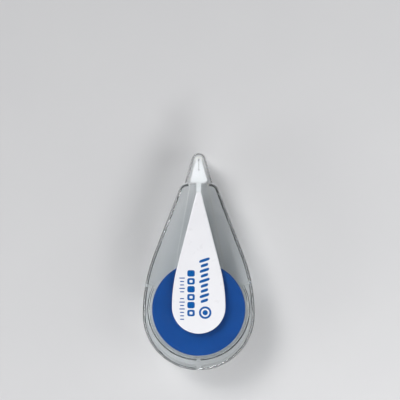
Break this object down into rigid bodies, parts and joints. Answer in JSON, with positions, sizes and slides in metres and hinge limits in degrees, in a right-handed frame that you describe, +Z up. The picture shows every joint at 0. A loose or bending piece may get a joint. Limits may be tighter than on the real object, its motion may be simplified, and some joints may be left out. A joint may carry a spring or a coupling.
{
  "type": "correction tape roller",
  "caption": "Drop-shaped correction tape roller with a clear case, a large coloured spool disc, white grip plates, a roller tip and a pull-off clear cap.",
  "frame": {"origin": "where the spool axis meets the surface that the roller lies on, on the outer face of the back grip plate", "axes": "+Y along the roller towards its tip, +Z up out of the front grip plate, +X to the right seen from the front"},
  "size_m": [0.0432, 0.0838, 0.0181],
  "materials": {
    "clear_case": "clear polished polystyrene",
    "clear_cap": "clear polished polypropylene",
    "white_plate": "white, semi-gloss, with plain blue marks",
    "axle_steel": "turned steel",
    "pin_steel": "turned steel",
    "spring_steel": "spring wire",
    "washer_steel": "stamped steel",
    "supply_white": "moulded",
    "disc_plastic": "moulded",
    "blue_disc": "royal blue, fine satin",
    "clutch_rubber": "matt",
    "tape": "coated film",
    "pawl_plastic": "acetal",
    "tip_plastic": "moulded",
    "roller_plastic": "acetal"
  },
  "bodies": {
    "case": {"front_shell": "clear_case", "back_shell": "clear_case", "front_grip_plate": "white_plate", "back_grip_plate": "white_plate", "spool_axle": "axle_steel", "thrust_washer": "washer_steel", "tip_holder": "tip_plastic", "tip_roller_pin": "pin_steel", "supply_tape_run": "tape", "return_tape_run": "tape", "tip_tape_wrap": "tape"},
    "supply": {"supply_spool": "supply_white", "supply_disc": "disc_plastic", "supply_tape_roll": "tape", "clutch_ring": "clutch_rubber"},
    "takeup": {"takeup_spool": "blue_disc", "takeup_disc": "disc_plastic", "takeup_tape_wrap": "tape", "clutch_spring": "spring_steel"},
    "roller": {"tip_roller": "roller_plastic"},
    "pawl": {"ratchet_pawl": "pawl_plastic"},
    "cap": {"tip_cap": "clear_cap"}
  },
  "joints": [
    {"name": "supply_spin", "type": "hinge", "parent": "case", "child": "supply", "pos_m": [0, 0, 0.0058], "axis": [0, 0, -1], "continuous": true},
    {"name": "takeup_spin", "type": "hinge", "parent": "case", "child": "takeup", "pos_m": [0, 0, 0.0122], "axis": [0, 0, -1], "continuous": true},
    {"name": "tip_roller_spin", "type": "hinge", "parent": "case", "child": "roller", "pos_m": [0, 0.0576, 0.00903], "axis": [0, 0, -1], "continuous": true},
    {"name": "pawl_swing", "type": "hinge", "parent": "case", "child": "pawl", "pos_m": [-0.01532, -0.00557, 0.0032], "axis": [0, 0, 1], "range_deg": [0, 5], "stiffness_Nm_per_rad": 0.0001},
    {"name": "cap_pull", "type": "slide", "parent": "case", "child": "cap", "axis": [0, 1, 0], "range_m": [0, 0.025]}
  ],
  "couplings": [
    {"joint": "takeup_spin", "follows": "supply_spin", "ratio": 0.9375},
    {"joint": "tip_roller_spin", "follows": "supply_spin", "ratio": 8.5714}
  ]
}
